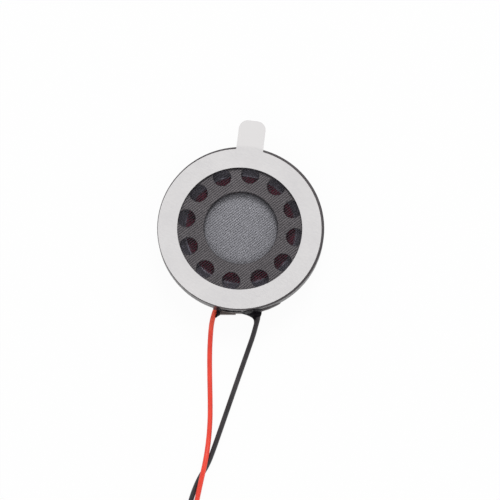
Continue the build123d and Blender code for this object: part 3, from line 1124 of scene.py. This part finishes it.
def cloth_tree():
    """Warp and weft, each a family of threads."""
    lengths = ("Radius", "Pitch", "Warp Width", "Weft Width", "Thickness", "Wave", "Height", "Jitter")
    n, given = geometry_tree("woven_cloth", {**dict.fromkeys(lengths, "Float"), "Count": "Int"})
    warp = thread_family(n, given, warp_turn, given["Warp Width"], 0.0, finishes["warp"])
    weft = thread_family(n, given, warp_turn + 90, given["Weft Width"], 1.0, finishes["weft"])
    n.node("NodeGroupOutput", {"Geometry": n.joined(warp, weft)})
    return n.tree


def add_cloth():
    """Woven cloth stretched over the front, its threads half the node's thickness each."""
    base, top = low("dust_mesh").z, high("dust_mesh").z
    radius = high("dust_mesh").x
    thick = (top - base) / 2
    cloth = grow(
        "woven_cloth",
        cloth_tree(),
        Radius=radius,
        Pitch=mesh_pitch * MM,
        Warp_Width=warp_w * MM,
        Weft_Width=weft_w * MM,
        Thickness=thick * 0.95,
        Wave=thick * 0.5,
        Height=(base + top) / 2,
        Jitter=thread_jitter * MM,
        Count=2 * math.ceil(radius / (mesh_pitch * MM)),
    )
    finish_piece(cloth, None, "cloth_black", "casing", "dust_mesh")


def add_cloth_edge():
    """Black adhesive, soaked through the weave, that fixes the cloth's edge to the frame's lip."""
    outer = high("dust_mesh").x / MM
    base, top = low("dust_mesh").z / MM, high("dust_mesh").z / MM
    inner = outer - cloth_edge_w
    rings = []
    for k in range(cloth_edge_sections):
        angle = 2 * math.pi * k / cloth_edge_sections
        out = Vector((math.cos(angle), math.sin(angle), 0.0))
        stray = wander(out * 10, 0.05, 1.4)
        centre = out * ((inner + stray + outer) / 2) + Vector((0, 0, (base + top) / 2))
        rings.append(bead_ring(centre, out, (outer - inner - stray) / 2, (top - base) / 2 - 0.004, 0.6))
    edge = add_mesh("cloth_edge", [p for ring in rings for p in ring], ring_faces(rings, closed=True))
    weld(edge)
    finish_piece(edge, "soaked", "cloth_black", "casing", "dust_mesh")


add_cloth()
add_cloth_edge()


# ---- damping felt ----

felt_in_r = 6.7
felt_gap = 66.0
felt_steps = (14, 180)
felt_lift = 0.016
felt_fray = 0.03
vent_circle_r = 7.9
vent_turns = [math.radians(60 * k) for k in (0, 1, 2, 4, 5)]
dimple_r = 0.75
dimple_depth = 0.06


def fibre_tree():
    """Short curled fibres strewn over a sheet's faces, and the sheet itself."""
    sizes = dict.fromkeys(("Density", "Length", "Thickness", "Curl"), "Float")
    n, given = geometry_tree("felt_fibres", {"Geometry": "Geometry", **sizes})
    length = Term(n, given["Length"])
    spread = {"Mesh": given["Geometry"], "Density": given["Density"], "Seed": 5}
    strewn = n.term("GeometryNodeDistributePointsOnFaces", spread)
    straight = n.term("GeometryNodeCurvePrimitiveLine", {"End": n.vector(length)})
    cut = n.term("GeometryNodeResampleCurve", {"Curve": straight, "Count": 6})
    x = n.axis(n.term("GeometryNodeInputPosition"), "X")
    bow = (x / length * math.pi).sine() * Term(n, given["Curl"])
    bend = {"Geometry": cut, "Offset": n.vector(0.0, bow, bow * 0.25)}
    curled = n.term("GeometryNodeSetPosition", bend)
    round_section = {"Resolution": 3, "Radius": given["Thickness"]}
    section = n.term("GeometryNodeCurvePrimitiveCircle", round_section)
    swept = {"Curve": curled, "Profile Curve": section, "Fill Caps": True}
    fibre = n.term("GeometryNodeCurveToMesh", swept)
    turn = n.term("FunctionNodeRandomValue", {2: 0.0, 3: 2 * math.pi, "Seed": 3}, 1)
    size = n.term("FunctionNodeRandomValue", {2: 0.5, 3: 1.0, "Seed": 8}, 1)
    place = {"Points": strewn, "Instance": fibre, "Rotation": n.vector(z=turn), "Scale": size}
    placed = n.term("GeometryNodeInstanceOnPoints", place)
    real = n.joined(placed, given["Geometry"])
    painted = {"Geometry": real, "Material": finishes["felt"].material}
    n.node("NodeGroupOutput", {"Geometry": n.term("GeometryNodeSetMaterial", painted)})
    return n.tree


def add_felt():
    """Damping felt, drawn in a little over each vent, with loose fibres on it."""
    node = "vent_cloth"
    base, top = low(node).z / MM, high(node).z / MM
    outer = high(node).x / MM
    start, end = math.radians(-90 + felt_gap / 2), math.radians(270 - felt_gap / 2)
    vents = [Vector((vent_circle_r * math.sin(t), vent_circle_r * math.cos(t), 0.0)) for t in vent_turns]
    steps_r, steps_a = felt_steps
    lowers, uppers = [], []
    for i in range(steps_r + 1):
        for k in range(steps_a + 1):
            angle = start + (end - start) * k / steps_a
            edge = felt_fray * (1 if i == steps_r else -1 if i == 0 else 0)
            radius = felt_in_r + (outer - felt_in_r) * i / steps_r
            out = Vector((math.cos(angle), math.sin(angle), 0.0))
            radius -= edge * (1 + noise.noise(out * 30)) / 2
            at = out * radius
            pull = max(0.0, *(1 - (at - vent).length / dimple_r for vent in vents))
            dimple = dimple_depth * pull**2 * (3 - 2 * pull)
            fluff = wander(at, 0.012, 4.0)
            lowers.append(at + Vector((0, 0, base + felt_lift + dimple + fluff)))
            uppers.append(at + Vector((0, 0, top)))
    across = steps_a + 1
    half = len(lowers)
    faces = sheet_faces(steps_r, steps_a)
    last = steps_r * across
    border = [*range(0, last, across), *range(last, half - 1)]
    border += [*range(half - 1, steps_a, -across), *range(steps_a, 0, -1)]
    for a, b in zip(border, border[1:] + border[:1]):
        faces.append((a, b, half + b, half + a))
    sheet = add_mesh("felt_sheet", lowers + uppers, faces)
    weld(sheet)
    sizes = {"Density": 8e6, "Length": 0.9 * MM, "Thickness": 0.007 * MM, "Curl": 0.16 * MM}
    felt = grow("damping_felt", fibre_tree(), sheet, **sizes)
    finish_piece(felt, "felt", "damping_cloth", "casing", node)


add_felt()


# ---- floor, world and lamps ----

floor_half = 0.6  # metres
floor_level = -0.02
white = (1.0, 1.0, 1.0, 1.0)
room_glow = 0.76
patch_glow = 0.12


def cleared_nodes(owner):
    """The empty node tree of a new material or world."""
    owner.use_nodes = True
    owner.node_tree.nodes.clear()
    return Nodes(owner.node_tree)


def add_floor():
    """Pale floor, near white to the camera and in gloss, that keeps a soft shadow."""
    mesh = bpy.data.meshes.new("floor")
    signs = ((-1, -1), (1, -1), (1, 1), (-1, 1))
    corners = [(x * floor_half, y * floor_half, floor_level * MM) for x, y in signs]
    mesh.from_pydata(corners, [], [(0, 1, 2, 3)])
    material = bpy.data.materials.new("floor")
    n = cleared_nodes(material)
    rays = n.node("ShaderNodeLightPath").outputs
    seen = Term(n, rays["Is Camera Ray"]) + rays["Is Glossy Ray"] + rays["Is Transmission Ray"]
    plain = n.term("ShaderNodeBsdfDiffuse", {"Color": (0.8, 0.8, 0.8, 1.0)})
    bright = n.term("ShaderNodeEmission", {"Color": white})
    mixed = n.term("ShaderNodeMixShader", {0: seen.clipped() * 0.95, 1: plain, 2: bright})
    n.node("ShaderNodeOutputMaterial", {"Surface": mixed})
    mesh.materials.append(material)
    add_object("floor", mesh)


def add_world():
    """White room with a dark patch overhead."""
    scene.world = bpy.data.worlds.new("studio")
    n = cleared_nodes(scene.world)
    rays = n.node("ShaderNodeLightPath").outputs
    seen = Term(n, rays["Is Camera Ray"]) + rays["Is Transmission Ray"]
    towards = n.node("ShaderNodeTexCoord").outputs["Generated"]
    overhead = n.range(n.axis(towards, "Z"), 0.8, 0.95)
    glow = room_glow - (room_glow - patch_glow) * overhead
    room = n.term("ShaderNodeBackground", {"Color": white, "Strength": glow})
    bright = n.term("ShaderNodeBackground", {"Color": white})
    mixed = n.term("ShaderNodeMixShader", {0: seen.clipped(), 1: room, 2: bright})
    n.node("ShaderNodeOutputWorld", {"Surface": mixed})


def add_lamp(name, place, power, size):
    """A round lamp aimed at the speaker; its place and size are in metres."""
    light = bpy.data.lights.new(name, "AREA")
    light.energy = power
    light.shape = "DISK"
    light.size = size
    lamp = add_object(name, light)
    lamp.location = place
    lamp.rotation_euler = (-Vector(place)).to_track_quat("-Z", "Y").to_euler()


add_floor()
add_world()
add_lamp("key_lamp", (0.06, 0.36, 0.5), 1.75, 0.3)
add_lamp("front_lamp", (-0.05, -0.36, 0.44), 0.56, 0.34)
scene.view_settings.view_transform = "Standard"
